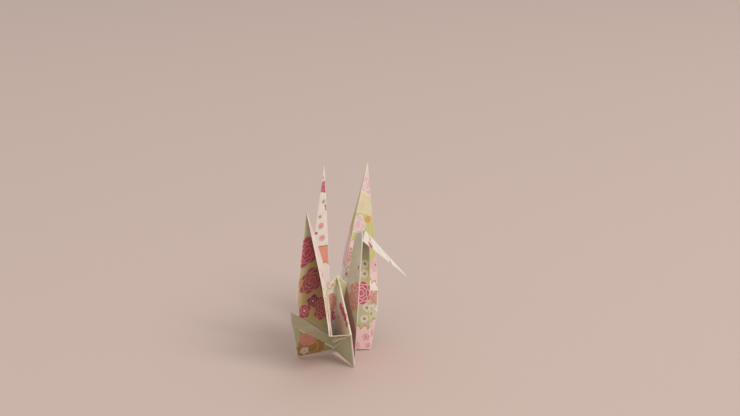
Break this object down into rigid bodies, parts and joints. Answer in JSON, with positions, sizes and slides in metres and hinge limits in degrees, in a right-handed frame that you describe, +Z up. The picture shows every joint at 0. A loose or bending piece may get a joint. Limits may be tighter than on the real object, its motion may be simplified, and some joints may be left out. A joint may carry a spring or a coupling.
{
  "type": "origami crane",
  "caption": "Folded paper crane with raised wings, standing on the lower corners of its opened body.",
  "frame": {"origin": "centre of the bounding box, on the plane the crane rests on", "axes": "+X the way the neck points, -Y the near wing, +Z up"},
  "size_m": [0.041, 0.067, 0.0774],
  "materials": {
    "printed_sheet": "matt printed paper, cream and pale green with pink and red blossoms"
  },
  "bodies": {
    "root": {"folded_crane": "printed_sheet"}
  },
  "joints": []
}
